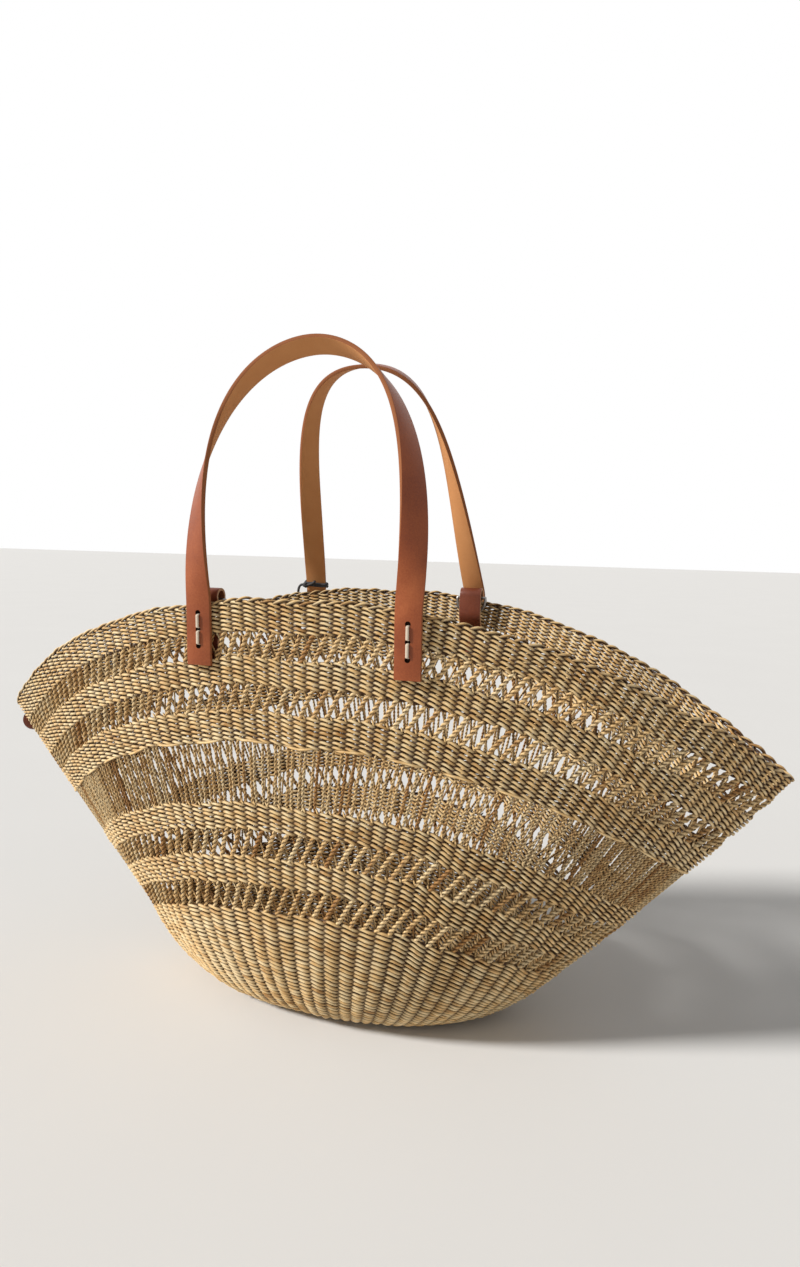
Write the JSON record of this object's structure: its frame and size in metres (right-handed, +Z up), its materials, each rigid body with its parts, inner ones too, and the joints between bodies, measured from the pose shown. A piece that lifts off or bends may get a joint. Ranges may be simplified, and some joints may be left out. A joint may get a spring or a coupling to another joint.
{
  "type": "straw market bag",
  "caption": "Boat-shaped straw bag with close-woven and openwork bands, two swinging leather strap handles and small leather loops with D-rings inside the mouth.",
  "frame": {"origin": "on the floor under the middle of the bag", "axes": "+X along the mouth to one pointed tip, -Y to the front wall, +Z up"},
  "size_m": [0.6782, 0.2247, 0.5215],
  "materials": {
    "straw": "matte",
    "open_straw": "matte",
    "strap_leather": "satin",
    "dark_leather": "satin",
    "stitch_cord": "matte",
    "black_cord": "matte",
    "dark_metal": "satin"
  },
  "bodies": {
    "bag": {"woven_base": "straw", "rim_band": "straw", "second_band": "straw", "middle_band": "straw", "fourth_band": "straw", "lowest_band": "straw", "openwork_one": "open_straw", "openwork_two": "open_straw", "openwork_three": "open_straw", "openwork_four": "open_straw", "openwork_five": "open_straw", "front_left_strap_foot": "strap_leather", "front_right_strap_foot": "strap_leather", "rear_left_strap_foot": "strap_leather", "rear_right_strap_foot": "strap_leather", "front_left_loop": "dark_leather", "rear_right_loop": "dark_leather", "tip_disc": "dark_leather", "front_left_stitches": "stitch_cord", "front_right_stitches": "stitch_cord", "rear_left_stitches": "stitch_cord", "rear_right_stitches": "stitch_cord", "tip_disc_stitch": "stitch_cord"},
    "front_handle": {"front_handle": "strap_leather"},
    "rear_handle": {"rear_handle": "strap_leather", "tie_cord": "black_cord"},
    "front_ring": {"front_left_ring": "dark_metal"},
    "rear_ring": {"rear_right_ring": "dark_metal"}
  },
  "joints": [
    {"name": "front_handle_swing", "type": "hinge", "parent": "bag", "child": "front_handle", "pos_m": [0, -0.1094, 0.3318], "axis": [1, 0, 0], "range_deg": [-14.5, 117]},
    {"name": "rear_handle_swing", "type": "hinge", "parent": "bag", "child": "rear_handle", "pos_m": [0, 0.1094, 0.3318], "axis": [1, 0, 0], "range_deg": [-147, 3]},
    {"name": "front_ring_swing", "type": "hinge", "parent": "bag", "child": "front_ring", "pos_m": [-0.0785, -0.09207, 0.32963], "axis": [1, 0, 0], "range_deg": [-18, 1.5]},
    {"name": "rear_ring_swing", "type": "hinge", "parent": "bag", "child": "rear_ring", "pos_m": [0.0785, 0.09207, 0.32963], "axis": [1, 0, 0], "range_deg": [-1.5, 18]}
  ]
}
